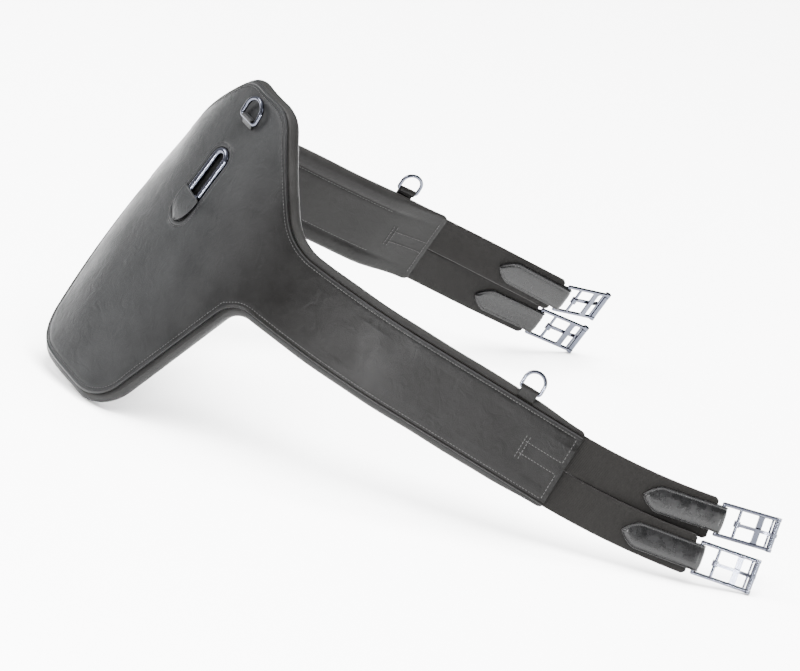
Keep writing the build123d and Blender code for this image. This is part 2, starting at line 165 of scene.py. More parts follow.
def band_axes(along):
    """Origin and the outward, frontward and lengthwise directions of the band, in the row frame."""
    side = 1.0 if along < 0 else -1.0
    x, y, turn = plan_position(along)
    outward = np.array([-math.cos(turn), -side * math.sin(turn), 0.0])
    upright = np.array([0.0, 0.0, 1.0])
    out = outward * math.cos(LEAN) + upright * math.sin(LEAN)
    length = np.cross(outward, upright)
    front = np.cross(length, out)
    origin = GIRTH_ORIGIN + TURN @ np.array([x, side * y, 0.0])
    return origin, TURN @ out, TURN @ front, TURN @ length


def band_point(along, across, out):
    """A point of the band in the row frame, in millimetres."""
    origin, out_dir, front, _ = band_axes(along)
    return origin + out_dir * out + front * across


def edge_height(along, outline, extra=0.0):
    """Distance of an outline's edge from the arm's middle line."""
    reach, flat, foot, outer_radius, inner_radius = outline
    slope = math.atan2(reach - ARM_HALF, foot - flat)
    shift = extra * math.tan(slope / 2)
    outer = outer_radius + extra
    inner = inner_radius - extra
    top = reach + extra
    low = ARM_HALF + extra
    start = flat + shift - outer * math.tan(slope / 2)
    stop = foot + shift + inner * math.tan(slope / 2)
    place = abs(along)
    if place <= start:
        return top
    if place <= start + outer * math.sin(slope):
        return top - outer + math.sqrt(outer**2 - (place - start) ** 2)
    if place <= stop - inner * math.sin(slope):
        return top - (place - flat - shift) * math.tan(slope)
    if place <= stop:
        return low + inner - math.sqrt(inner**2 - (stop - place) ** 2)
    return low


def edge_slope(along, outline):
    """Steepness of an outline's edge, as rise over run along the band."""
    return (edge_height(along + 0.5, outline) - edge_height(along - 0.5, outline))


def tapered(along, full, end):
    """A size that changes smoothly towards the end of the arm."""
    share = min(max((abs(along) - TAPER[0]) / (TAPER[1] - TAPER[0]), 0.0), 1.0)
    return full + (end - full) * (1 - math.cos(math.pi * share)) / 2


# --- mesh helpers -----------------------------------------------------------------------
def make_object(name, points, faces, uvs=None, normals=None):
    """A mesh object from points in millimetres in the row frame."""
    mesh = bpy.data.meshes.new(name)
    mesh.from_pydata([tuple(p) for p in np.asarray(points) * MM], [], faces)
    mesh.update()
    for polygon in mesh.polygons:
        polygon.use_smooth = True
    if uvs is not None:
        layer = mesh.uv_layers.new(name="UVMap")
        index = np.zeros(len(mesh.loops), np.int32)
        mesh.loops.foreach_get("vertex_index", index)
        layer.data.foreach_set("uv", np.asarray(uvs, np.float32)[index].ravel())
    if normals is not None:
        mesh.normals_split_custom_set_from_vertices([tuple(n) for n in normals])
    obj = bpy.data.objects.new(name, mesh)
    bpy.context.scene.collection.objects.link(obj)
    return obj


def ring_faces(rings, count, closed_ends=True):
    """Quads between closed rings of points, with the two ends closed."""
    faces = []
    for i in range(rings - 1):
        for j in range(count):
            k = (j + 1) % count
            faces.append((i * count + j, i * count + k, (i + 1) * count + k, (i + 1) * count + j))
    if closed_ends:
        faces.append(tuple(reversed(range(count))))
        faces.append(tuple((rings - 1) * count + j for j in range(count)))
    return faces


def surface_normals(grid):
    """Normals of a lofted grid of closed rings, shape (rings, count, 3)."""
    along = np.gradient(grid, axis=0)
    around = np.roll(grid, -1, axis=1) - np.roll(grid, 1, axis=1)
    normal = np.cross(around, along)
    size = np.linalg.norm(normal, axis=2, keepdims=True)
    normal = normal / np.maximum(size, 1e-9)
    return normal


def undulation(along, across):
    """Slow unevenness of hand-worked leather over its padding, in millimetres."""
    return (
        0.35 * math.sin(along / 41.0 + 1.3) * math.sin(across / 29.0 + 0.4)
        + 0.22 * math.sin(along / 17.0 - across / 23.0)
        + 0.12 * math.sin(along / 9.5 + across / 11.0 + 2.0)
    )


# The outer leather's bound edge: (distance in from the edge, height).
BEAD = (
    (0.0, -2.9), (-0.1, -1.6), (0.1, -0.6), (0.45, -0.05), (1.0, 0.2), (1.6, 0.15),
    (2.1, -0.25), (2.6, -0.55), (3.2, -0.4), (4.1, -0.35), (5.0, -0.5), (5.9, -0.35),
    (7.2, -0.05), (9.5, 0.08), (14.0, 0.15),
)
BEAD_REACH = BEAD[-1][0]
# The stitched groove beside the padding's roll: (distance in from the roll, rise).
GROOVE = ((3.0, 0.1), (6.0, 0.5), (8.5, 1.4), (10.5, 2.7), (12.0, 3.2), (13.5, 2.8), (16.0, 2.3))
GROOVE_REACH = GROOVE[-1][0]
# Share of the groove left at the arms' ends, rise of the flat panel, and the roll's reach inwards.
END_GROOVE = 0.12
PANEL_RISE = 2.2
ROLL_INWARD = 2.0


def leather_ring(along, inner_count):
    """Cross-section of the outer leather: (across, out) round its whole edge."""
    rear = -edge_height(along, LOBE)
    front = edge_height(along, FRONT)
    rear_stretch = math.sqrt(1 + edge_slope(along, LOBE) ** 2)
    front_stretch = math.sqrt(1 + edge_slope(along, FRONT) ** 2)
    limit = (front - rear) * 0.42
    points = [(rear + min(d * rear_stretch, limit * d / BEAD_REACH), out) for d, out in BEAD]
    low = points[-1][0]
    ahead = [(front - min(d * front_stretch, limit * d / BEAD_REACH), out) for d, out in BEAD]
    high = ahead[-1][0]
    for i in range(1, inner_count + 1):
        across = low + (high - low) * i / (inner_count + 1)
        points.append((across, 0.2 + undulation(along, across)))
    points += ahead[::-1]
    points.append((front - 1.0, -LEATHER))
    points.append(((front + rear) / 2, -LEATHER))
    points.append((rear + 1.0, -LEATHER))
    return points


def pad_ring(along, inner_count):
    """Cross-section of the padded lining: the rolled edges and the flat panel between them."""
    top = -LEATHER - LAYER_GAP
    back = tapered(along, -PAD_DEPTH, -END_DEPTH)
    ending = max(0.0, (abs(along) - (ARM_END - END_MARGIN)) / END_MARGIN)
    rounding = math.sqrt(max(0.04, 1.0 - ending**2))
    back = top + (back - top) * (0.85 + 0.15 * rounding)
    extra = tapered(along, ROLL[0], ROLL[1]) * rounding
    half = (top - back) / 2
    middle = (top + back) / 2
    width = min(half, extra + ROLL_INWARD)
    groove = tapered(along, 1.0, END_GROOVE)
    edges = []
    for outline, sign in ((LOBE, -1), (FRONT, 1)):
        if sign > 0:
            extra -= ROLL_DIP[0] * max(0.0, 1.0 - (along / ROLL_DIP[1]) ** 2)
        place = edge_height(along, outline, extra)
        stretch = math.sqrt(1 + edge_slope(along, outline) ** 2)
        swell = 1.0 + 0.03 * math.sin(along / 13.0)
        inward = []
        for degrees in range(78, -91, -12):
            angle = math.radians(degrees)
            across = place - width + width * math.cos(angle) * swell
            inward.append((sign * across, middle + half * math.sin(angle)))
        for step, rise in GROOVE:
            shift = min(step * stretch, place * 0.35 * step / GROOVE_REACH)
            inward.append((sign * (place - width - shift), back + rise * groove))
        start = (sign * (place - width * 1.1), top)
        edges.append([start] + inward)
    rear, front = edges
    inner = []
    low = rear[-1][0]
    high = front[-1][0]
    for i in range(1, inner_count + 1):
        across = low + (high - low) * i / (inner_count + 1)
        inner.append((across, back + (PANEL_RISE - undulation(along, across)) * groove))
    seam = [(front[0][0] * (1 - k / 4) + rear[0][0] * k / 4, top) for k in (1, 2, 3)]
    return rear + inner + front[::-1] + seam


def loft_band(name, section, inner_count, stops):
    """Loft a band piece and cut it into its near, centre and far pieces, with one shading."""
    rings = [section(along, inner_count) for along in stops]
    grid = np.array([
        [band_point(along, across, out) for across, out in ring]
        for along, ring in zip(stops, rings)
    ])
    normals = surface_normals(grid)
    uv = np.array([
        [(along / UV_UNIT, across / UV_UNIT) for across, _ in ring]
        for along, ring in zip(stops, rings)
    ])
    count = grid.shape[1]
    pieces = {}
    for part, low, high in BAND_PARTS:
        pick = [i for i, along in enumerate(stops) if low - 1e-6 <= along <= high + 1e-6]
        points = grid[pick].reshape(-1, 3)
        faces = ring_faces(len(pick), count, False)
        if part == "near":
            faces.append(tuple(reversed(range(count))))
        if part == "far":
            faces.append(tuple((len(pick) - 1) * count + j for j in range(count)))
        pieces[part] = make_object(
            f"{part}_{name}", points, faces, uv[pick].reshape(-1, 2), normals[pick].reshape(-1, 3)
        )
    return pieces


# One stitch: (share of its length, share of its radius), its flatness and its number of sides.
STITCH_PROFILE = ((0.0, 0.25), (0.18, 0.9), (0.5, 1.0), (0.82, 0.9), (1.0, 0.25))
STITCH_FLATNESS = 0.8
STITCH_SIDES = 6
STITCH_RADIUS = 0.42


def capsules(name, places, radius):
    """Stitches as one mesh; places holds (start, end, normal) for each, in millimetres."""
    points, faces = [], []
    for start, end, normal in places:
        axis = end - start
        axis = axis / np.linalg.norm(axis)
        wide = np.cross(normal, axis)
        wide = wide / np.linalg.norm(wide)
        tall = np.cross(axis, wide)
        base = len(points)
        for share, size in STITCH_PROFILE:
            centre = start + (end - start) * share
            for k in range(STITCH_SIDES):
                angle = 2 * math.pi * k / STITCH_SIDES
                spoke = wide * math.cos(angle) + tall * math.sin(angle) * STITCH_FLATNESS
                points.append(centre + spoke * radius * size)
        for face in ring_faces(len(STITCH_PROFILE), STITCH_SIDES):
            faces.append(tuple(base + v for v in face))
    return make_object(name, points, faces)


def stitch_row(path, length=2.6, gap=0.9):
    """Stitches along a path of (point, normal); returns the list that capsules takes."""
    points = np.array([p for p, _ in path])
    normals = np.array([n for _, n in path])
    steps = np.linalg.norm(np.diff(points, axis=0), axis=1)
    reach = np.concatenate([[0.0], np.cumsum(steps)])
    count = max(1, int(reach[-1] / (length + gap)))
    pitch = reach[-1] / count
    places = []
    for i in range(count):
        ends = []
        for at in (i * pitch + gap / 2, (i + 1) * pitch - gap / 2):
            ends.append(np.array([np.interp(at, reach, points[:, k]) for k in range(3)]))
        at = (i + 0.5) * pitch
        normal = np.array([np.interp(at, reach, normals[:, k]) for k in range(3)])
        places.append((ends[0], ends[1], normal / np.linalg.norm(normal)))
    return places


def strip(name, path, widths, thickness, across_dir, crown=0.0, bead=0.0):
    """A leather strip bent along a path of (point, normal); widths are its half widths."""
    rings = []
    for (point, normal), half in zip(path, widths):
        half = max(half, 0.05)
        edge = min(1.0, half)
        t = thickness / 2
        section = [
            (-half, -t * 0.5), (-half, t * 0.4), (-half + edge * 0.35, t * 0.9 + bead),
            (-half + edge * 1.1, t + bead), (-half + edge * 2.2, t - bead * 0.8),
            (-half + edge * 3.2, t + crown * 0.3), (-half * 0.4, t + crown), (half * 0.4, t + crown),
            (half - edge * 3.2, t + crown * 0.3), (half - edge * 2.2, t - bead * 0.8),
            (half - edge * 1.1, t + bead), (half - edge * 0.35, t * 0.9 + bead), (half, t * 0.4),
            (half, -t * 0.5), (half - edge * 0.4, -t), (0.0, -t), (-half + edge * 0.4, -t),
        ]
        ordered = []
        for wide, high in section:
            wide = max(-half, min(half, wide))
            ordered.append(point + across_dir * wide + normal * high)
        rings.append(ordered)
    grid = np.array(rings)
    reach = np.concatenate([
        [0.0], np.cumsum(np.linalg.norm(np.diff(grid.mean(axis=1), axis=0), axis=1))
    ])
    uv = np.array([[(r / UV_UNIT, j / 30.0) for j in range(grid.shape[1])] for r in reach])
    faces = ring_faces(grid.shape[0], grid.shape[1])
    return make_object(name, grid.reshape(-1, 3), faces, uv.reshape(-1, 2))


# --- materials --------------------------------------------------------------------------
def shader(name):
    """A new node material; returns it with its node tree and its Principled shader."""
    material = bpy.data.materials.new(name)
    material.use_nodes = True
    tree = material.node_tree
    return material, tree, tree.nodes["Principled BSDF"]


def add_node(tree, kind, **values):
    """Add a node and set its inputs by name."""
    node = tree.nodes.new(kind)
    for key, value in values.items():
        node.inputs[key.replace("_", " ")].default_value = value
    return node


def colour_between(tree, factor, dark, light):
    """A colour ramp between two colours."""
    ramp = tree.nodes.new("ShaderNodeValToRGB")
    ramp.color_ramp.elements[0].color = (*dark, 1)
    ramp.color_ramp.elements[1].color = (*light, 1)
    tree.links.new(factor, ramp.inputs["Fac"])
    return ramp.outputs["Color"]


def uv_parts(tree):
    """The piece's two UV coordinates, as the X and Y of the outputs returned."""
    uv = tree.nodes.new("ShaderNodeUVMap")
    uv.uv_map = "UVMap"
    split = tree.nodes.new("ShaderNodeSeparateXYZ")
    tree.links.new(uv.outputs["UV"], split.inputs["Vector"])
    return split.outputs


def maths(tree, operation, value, second=None):
    """A maths node on one value, with a number as its second input where it takes one."""
    node = tree.nodes.new("ShaderNodeMath")
    node.operation = operation
    tree.links.new(value, node.inputs[0])
    if second is not None:
        node.inputs[1].default_value = second
    return node.outputs["Value"]


def pattern(tree, kind, output, **values):
    """A texture in the piece's own coordinates; returns the output asked for."""
    node = add_node(tree, kind, **values)
    place = tree.nodes.new("ShaderNodeTexCoord").outputs["Object"]
    tree.links.new(place, node.inputs["Vector"])
    if output == "Distance":
        node.feature = "DISTANCE_TO_EDGE"
    return node.outputs[output]


def noise(tree, **values):
    """Noise in the piece's own coordinates."""
    return pattern(tree, "ShaderNodeTexNoise", "Fac", **values)


def mapped(tree, value, smooth=False, **ends):
    """Map a value from one range to another."""
    node = add_node(tree, "ShaderNodeMapRange", **ends)
    if smooth:
        node.interpolation_type = "SMOOTHSTEP"
    tree.links.new(value, node.inputs["Value"])
    return node.outputs["Result"]


def add_bumps(tree, bsdf, bumps):
    """Stack bumps on a shader's normal; each is (height, strength, distance in metres)."""
    normal = None
    for height, strength, distance in bumps:
        bump = add_node(tree, "ShaderNodeBump", Strength=strength, Distance=distance)
        tree.links.new(height, bump.inputs["Height"])
        if normal is not None:
            tree.links.new(normal, bump.inputs["Normal"])
        normal = bump.outputs["Normal"]
    tree.links.new(normal, bsdf.inputs["Normal"])


def add_painted_shade(tree, colour, start, stop, shade_tint):
    """Painted shade: multiply a colour by a dark tint that comes in along the band, between two distances.
    """
    reach = maths(tree, "ABSOLUTE", uv_parts(tree)["X"])
    share = mapped(tree, reach, smooth=True, From_Min=start / UV_UNIT, From_Max=stop / UV_UNIT)
    mix = tree.nodes.new("ShaderNodeMix")
    mix.data_type = "RGBA"
    mix.blend_type = "MULTIPLY"
    tree.links.new(share, mix.inputs["Factor"])
    tree.links.new(colour, mix.inputs["A"])
    mix.inputs["B"].default_value = (*shade_tint, 1)
    return mix.outputs["Result"]


def leather_material(name, dark, light, rough, grain, mottle, shine=0.24, relief=1.0, painted_shade=None):
    """Leather with pebbled grain, mottling, creases and uneven gloss, and painted shade along the band
    where one is given.
    """
    material, tree, bsdf = shader(name)
    cloud = noise(tree, Scale=mottle, Detail=6.0, Roughness=0.6)
    pebble = pattern(tree, "ShaderNodeTexVoronoi", "Distance", Scale=grain)
    fine = noise(tree, Scale=grain * 0.8, Detail=4.0, Roughness=0.65)
    crease = noise(tree, Scale=mottle * 2.6, Detail=3.0, Distortion=1.6)
    colour = colour_between(tree, cloud, dark, light)
    # Painted shade: the colour darkens along the band, where a shade is given.
    if painted_shade is not None:
        colour = add_painted_shade(tree, colour, *painted_shade)
    tree.links.new(colour, bsdf.inputs["Base Color"])
    gloss = mapped(tree, cloud, From_Min=0.3, From_Max=0.7, To_Min=rough - 0.09, To_Max=rough + 0.1)
    tree.links.new(gloss, bsdf.inputs["Roughness"])
    add_bumps(tree, bsdf, (
        (pebble, 0.3 * relief, 0.00025),
        (fine, 0.4 * relief, 0.0004),
        (crease, 0.22 * relief, 0.002),
    ))
    bsdf.inputs["Specular IOR Level"].default_value = shine
    return material


# Distance between the elastic's ribs and between its cross threads.
RIB_PITCH = 1.25
WEFT_PITCH = 0.9


def elastic_material(name):
    """Ribbed woven elastic: fine ribs along it and a soft matt weave."""
    material, tree, bsdf = shader(name)
    parts = uv_parts(tree)
    rib = maths(tree, "SINE", maths(tree, "MULTIPLY", parts["Y"], 2 * math.pi * UV_UNIT / RIB_PITCH))
    weft = maths(tree, "SINE", maths(tree, "MULTIPLY", parts["X"], 2 * math.pi * UV_UNIT / WEFT_PITCH))
    fuzz = noise(tree, Scale=420.0, Detail=5.0)
    colour = colour_between(tree, fuzz, (0.0019, 0.0017, 0.0015), (0.0048, 0.0044, 0.004))
    tree.links.new(colour, bsdf.inputs["Base Color"])
    bsdf.inputs["Roughness"].default_value = 0.85
    bsdf.inputs["Specular IOR Level"].default_value = 0.12
    bsdf.inputs["Sheen Weight"].default_value = 0.06
    bsdf.inputs["Sheen Roughness"].default_value = 0.5
    add_bumps(tree, bsdf, ((rib, 0.5, 0.0003), (weft, 0.25, 0.0002), (fuzz, 0.15, 0.0003)))
    return material


def metal_material(name, dark, light, rough):
    """Plated steel with faint handling marks and uneven polish."""
    material, tree, bsdf = shader(name)
    cloud = noise(tree, Scale=90.0, Detail=5.0)
    tree.links.new(colour_between(tree, cloud, dark, light), bsdf.inputs["Base Color"])
    bsdf.inputs["Metallic"].default_value = 1.0
    polish = mapped(tree, cloud, To_Min=rough, To_Max=rough + 0.12)
    tree.links.new(polish, bsdf.inputs["Roughness"])
    add_bumps(tree, bsdf, ((cloud, 0.08, 0.0003),))
    return material


def thread_material(name, dark, light):
    """Twisted sewing thread."""
    material, tree, bsdf = shader(name)
    cloud = noise(tree, Scale=700.0, Detail=3.0)
    tree.links.new(colour_between(tree, cloud, dark, light), bsdf.inputs["Base Color"])
    bsdf.inputs["Roughness"].default_value = 0.6
    add_bumps(tree, bsdf, ((cloud, 0.4, 0.0002),))
    return material


# Painted shade on the outer leather: it darkens between these two distances from the centre, to this tint,
# standing in for the shade where the band curves away from the light into the arms.
ARM_PAINTED_SHADE = (10.0, 170.0, (0.16, 0.14, 0.125))
# The outer leather carries the painted shade that darkens the arms.
OUTER = leather_material(
    "outer_leather", (0.0044, 0.0046, 0.0048), (0.0098, 0.01, 0.0103),
    rough=0.4, grain=1500, mottle=24, shine=0.125, painted_shade=ARM_PAINTED_SHADE,
)
LINING = leather_material(
    "lining_leather", (0.0042, 0.0041, 0.004), (0.0105, 0.0103, 0.01),
    rough=0.42, grain=1300, mottle=34, shine=0.085,
)
SMOOTH = leather_material(
    "smooth_leather", (0.004, 0.0042, 0.0044), (0.01, 0.0103, 0.0106),
    rough=0.4, grain=1400, mottle=60, shine=0.15,
)
KEEPER = leather_material(
    "keeper_leather", (0.002, 0.002, 0.0019), (0.006, 0.0058, 0.0055),
    rough=0.5, grain=1100, mottle=70, shine=0.1,
)
GLOSS = leather_material(
    "strap_leather", (0.001, 0.001, 0.001), (0.006, 0.006, 0.0062),
    rough=0.27, grain=900, mottle=110, shine=0.22, relief=0.3,
)
POCKET_LEATHER = leather_material(
    "pocket_leather", (0.003, 0.003, 0.003), (0.007, 0.007, 0.0065),
    rough=0.75, grain=900, mottle=60,
)
ELASTIC_CLOTH = elastic_material("ribbed_elastic")
CHROME = metal_material("plated_steel", (0.04, 0.043, 0.056), (0.085, 0.09, 0.112), 0.14)
SPRING = metal_material("spring_steel", (0.2, 0.2, 0.21), (0.3, 0.3, 0.32), 0.3)
THREAD = thread_material("grey_thread", (0.007, 0.007, 0.0066), (0.022, 0.022, 0.021))
DARK_THREAD = thread_material("black_thread", (0.002, 0.002, 0.002), (0.007, 0.007, 0.007))


def dress(obj, material):
    """Give a piece its material."""
    obj.data.materials.clear()
    obj.data.materials.append(material)
    return obj


# --- shield and arms: outer leather and padded lining -----------------------------------
OUTLINE_END = 170


def band_stops():
    """Distances along the band where its sections lie, closer together where its outline curves."""
    stops = {SPLIT}
    place = 0.0
    while place < ARM_END:
        stops.add(round(place, 3))
        place += 2.5 if place < OUTLINE_END else 4.0
    stops |= {ARM_END - step for step in (0, 0.4, 1.2, 2.4, 5)}
    return sorted({-s for s in stops} | stops)


def place_piece(obj, part):
    """The centre piece is attached to the shield; the side pieces only have their placement baked into
    their meshes.
    """
    if part == "shield":
        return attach(obj, "shield")
    sign = -1 if part == "near" else 1
    start = band_point(sign * BLEND[0], 0, -PAD_DEPTH / 2) * MM
    end = band_point(sign * BLEND[1], 0, -PAD_DEPTH / 2) * MM
    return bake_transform(obj)


def slot_outline(length, width, count=96):
    """Points (across, along) round the pocket's oval, with even spacing by angle."""
    points = []
    for i in range(count):
        angle = 2 * math.pi * i / count
        shift = (length - width) / 2 * (1 if math.cos(angle) >= 0 else -1)
        points.append((POCKET[2] + shift + width / 2 * math.cos(angle), width / 2 * math.sin(angle)))
    return points


shield_origin, shield_out, shield_front, shield_length = band_axes(0.0)


def seat_point(across, along, out):
    """A point of the flat seat at the shield's centre line."""
    return shield_origin + shield_front * across + shield_length * along + shield_out * out


def slot_cutter(bottom, top):
    """The oval of the hook's pocket, as a prism that cuts the leather and the padding."""
    bm = bmesh.new()
    outline = slot_outline(POCKET[0], POCKET[1], 64)
    rings = []
    for out in (bottom, top):
        rings.append([bm.verts.new(tuple(seat_point(a, b, out) * MM)) for a, b in outline])
    count = len(outline)
    for i in range(count):
        j = (i + 1) % count
        bm.faces.new((rings[0][i], rings[0][j], rings[1][j], rings[1][i]))
    bm.faces.new(rings[0][::-1])
    bm.faces.new(rings[1])
    bmesh.ops.recalc_face_normals(bm, faces=bm.faces)
    mesh = bpy.data.meshes.new("cutter")
    bm.to_mesh(mesh)
    bm.free()
    cutter = bpy.data.objects.new("cutter", mesh)
    bpy.context.scene.collection.objects.link(cutter)
    return cutter


def cut_away(obj, cutter):
    """Cut one mesh with another, and keep the result as the piece's own mesh."""
    modifier = obj.modifiers.new("cut", "BOOLEAN")
    modifier.operation = "DIFFERENCE"
    modifier.solver = "EXACT"
    modifier.object = cutter
    bpy.context.view_layer.update()
    graph = bpy.context.evaluated_depsgraph_get()
    mesh = bpy.data.meshes.new_from_object(obj.evaluated_get(graph))
    obj.modifiers.clear()
    obj.data = mesh
    for polygon in mesh.polygons:
        polygon.use_smooth = True


STOPS = band_stops()
leather_pieces = loft_band("outer_leather", leather_ring, 26, STOPS)
pad_pieces = loft_band("padding", pad_ring, 14, STOPS)
cutter = slot_cutter(-25.0, 12.0)
cut_away(leather_pieces["shield"], cutter)
cut_away(pad_pieces["shield"], cutter)
bpy.data.objects.remove(cutter)
for part in ("shield", "near", "far"):
    node = "shield" if part == "shield" else f"{part}_arm"
    dress(leather_pieces[part], OUTER)
    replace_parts(leather_pieces[part], f"{node}_leather")
    dress(pad_pieces[part], LINING)
    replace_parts(pad_pieces[part], f"{node}_lining", f"{node}_foam", f"{node}_webbing")
    place_piece(leather_pieces[part], part)
    place_piece(pad_pieces[part], part)


# --- stitching --------------------------------------------------------------------------
def edge_path(stations, outline, sign):
    """Path of (point, normal) a fixed depth inside an outline of the outer leather."""
    path = []
    for along in stations:
        stretch = math.sqrt(1 + edge_slope(along, outline) ** 2)
        across = sign * (edge_height(along, outline) - EDGE_INSET * stretch)
        path.append((band_point(along, across, EDGE_SUNK), band_axes(along)[1]))
    return path


def surface_path(places):
    """Path of (point, normal) lying on the outer leather, through places given as (along, across)."""
    path = []
    for along, across in places:
        inside = min(edge_height(along, FRONT) - across, across + edge_height(along, LOBE))
        rise = 0.15 + (0.2 + undulation(along, across)) * min(1.0, inside / BEAD_REACH)
        path.append((band_point(along, across, rise), band_axes(along)[1]))
    return path


def lining_path(places, rise):
    """Path of (point, normal) at a rise over the lining's inner face, through (along, across) places."""
    path = []
    for along, across in places:
        depth = tapered(along, -PAD_DEPTH, -END_DEPTH) + rise
        path.append((band_point(along, across, depth), -band_axes(along)[1]))
    return path


def groove_place(along, sign):
    """Place (along, across) in the groove beside the padding's roll."""
    extra = tapered(along, ROLL[0], ROLL[1])
    return along, sign * (edge_height(along, FRONT, extra) - GROOVE_INSET)


def spread(low, high, step=1.5):
    """Evenly spaced distances from low to high."""
    count = max(2, int(abs(high - low) / step))
    return [low + (high - low) * i / count for i in range(count + 1)]


def t_legs(side, back):
    """The T's two legs at an arm's end, as rows of (along, across)."""
    line = spread(side * (ARM_END - END_MARGIN), side * (ARM_END - back), 2)
    return [[(at, level) for at in line] for level in (-T_LEG, T_LEG)]


def t_bars(side):
    """The T's two bars at an arm's end, as rows of (along, across)."""
    return [
        [(side * (ARM_END - back), a) for a in spread(-T_BAR_HALF, T_BAR_HALF, 2)] for back in T_BARS
    ]


def stitch_piece(name, rows, part, thread, radius=STITCH_RADIUS):
    """One mesh of stitches, placed the way its part of the band is placed."""
    places = [p for row in rows for p in row]
    piece = capsules(name, places, radius)
    dress(piece, thread)
    place_piece(piece, part)


for part, low, high in BAND_PARTS:
    stations = spread(max(low, -ARM_END + END_MARGIN), min(high, ARM_END - END_MARGIN))
    paths = [edge_path(stations, outline, sign) for outline, sign in ((LOBE, -1), (FRONT, 1))]
    if part != "shield":
        side = -1 if part == "near" else 1
        end = side * (ARM_END - EDGE_INSET)
        ends = ((-SEAM_HALF, -T_LEG), (T_LEG, SEAM_HALF))
        seams = [[(end, a) for a in spread(*pair, 2)] for pair in ends]
        seams += t_legs(side, LEG_REACH[0]) + t_bars(side)
        paths += [surface_path(places) for places in seams]
    thread = THREAD if part != "shield" else DARK_THREAD
    stitch_piece(f"{part}_stitches", [stitch_row(path) for path in paths], part, thread)

for part in ("near", "far"):
    side = -1 if part == "near" else 1
    end = side * (ARM_END - EDGE_INSET)
    seam = [(end, a) for a in spread(-LINING_SEAM_HALF, LINING_SEAM_HALF, 2)]
    paths = [lining_path(seam, SEAM_RISE)]
    for sign in (-1, 1):
        stations = spread(side * GROOVE_RUN[0], side * GROOVE_RUN[1], 3)
        groove = [groove_place(along, sign) for along in stations]
        paths.append(lining_path(groove, GROOVE_RISE))
    paths += [lining_path(places, SEAM_RISE) for places in t_legs(side, LEG_REACH[1])]
    paths += [lining_path(places, BAR_RISE) for places in t_bars(side)]
    rows = [stitch_row(path) for path in paths]
    stitch_piece(f"{part}_lining_stitches", rows, part, THREAD, 0.4)


# --- hook pocket, tab and ring keepers --------------------------------------------------
# The pocket's section from its rim down to its floor: (distance out from the oval, height).
POCKET_PROFILE = (
    (2.6, -0.1), (2.0, 0.45), (1.0, 0.85), (-0.1, 0.85), (-1.0, 0.5), (-1.5, -0.3),
    (-1.6, -1.6), (-1.5, -5.0), (-1.6, POCKET[3] + 1.2), (-2.6, POCKET[3] + 0.2),
    (-5.0, POCKET[3]), (-9.0, POCKET[3]), (-14.2, POCKET[3]),
)
POCKET_SIDES = 96
# The first bands of the profile are the rim, in the outer leather; its seam lies this much outside.
RIM_BANDS = 5
POCKET_SEAM = 7


def pocket_mesh():
    """The pocket's rolled rim, wall and floor as one lofted shell."""
    length, width, _, _ = POCKET
    rings = []
    for grow, out in POCKET_PROFILE:
        outline = slot_outline(length + 2 * grow, width + 2 * grow, POCKET_SIDES)
        rings.append([seat_point(a, b, out) for a, b in outline])
    points = [p for ring in rings for p in ring]
    faces = ring_faces(len(rings), POCKET_SIDES, False)
    faces.append(tuple((len(rings) - 1) * POCKET_SIDES + j for j in range(POCKET_SIDES)))
    return make_object("hook_pocket_shell", points, faces)


pocket = dress(pocket_mesh(), POCKET_LEATHER)
pocket.data.materials.append(OUTER)
for polygon in pocket.data.polygons:
    polygon.material_index = 1 if polygon.index < POCKET_SIDES * RIM_BANDS else 0
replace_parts(pocket, "hook_pocket")
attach(pocket, "shield")
seam = slot_outline(POCKET[0] + POCKET_SEAM, POCKET[1] + POCKET_SEAM)
path = [(seat_point(a, b, 0.25), shield_out) for a, b in seam]
pocket_stitches = capsules("pocket_stitches", stitch_row(path + path[:1], 1.7, 0.9), 0.36)
dress(pocket_stitches, DARK_THREAD)
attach(pocket_stitches, "shield")


TAB_LEATHER = 1.9
TAB_TIP = -24.0
TAB_STEPS = 26
# The tab's rise over the hook's foot, and how far its tip drops into the pocket from there.
TAB_RISE = 1.35
TAB_DROP = 4.2


def tab_mesh():
    """The hook's leaf-shaped leather tab, lying over the hook's foot, with its slanted cut edge."""
    width, edge, slant, aside = TAB
    half = width / 2
    path, widths = [], []
    for i in range(TAB_STEPS + 1):
        share = i / TAB_STEPS
        across = TAB_TIP + share * (edge - TAB_TIP)
        leaf = math.sin(min(1.0, share / 0.75) * math.pi / 2) ** 0.65
        drop = TAB_DROP * (1.0 - min(1.0, share / 0.7)) ** 2
        rise = HOOK_OUT + HOOK_WIRE + TAB_RISE - drop
        path.append((seat_point(across, aside * share, rise), shield_out))
        widths.append(half * leaf)
    piece = strip("hook_tab_leather", path, widths, TAB_LEATHER, shield_length, crown=0.6, bead=0.1)
    for vertex in piece.data.vertices:
        offset = np.array(vertex.co) / MM - shield_origin
        share = max(0.0, (offset @ shield_front - TAB_TIP) / (edge - TAB_TIP) - 0.5) * 2
        shift = slant * share * (offset @ shield_length) / half * MM
        vertex.co += Vector(tuple(shield_front * shift))
    return piece


tab = dress(tab_mesh(), SMOOTH)
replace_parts(tab, "hook_tab")
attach(tab, "hook")


# Keepers: thickness, and distance from the wire to the middle of the leather.
KEEPER_LEATHER = 1.3
KEEPER_GAP = 1.0


def ring_seat(along, across, out):
    """The middle of a ring's bar, and the directions towards its eye, along its bar and outwards."""
    origin, out_dir, front, length_dir = band_axes(along)
    return origin + front * across + out_dir * out, (front, length_dir, out_dir)


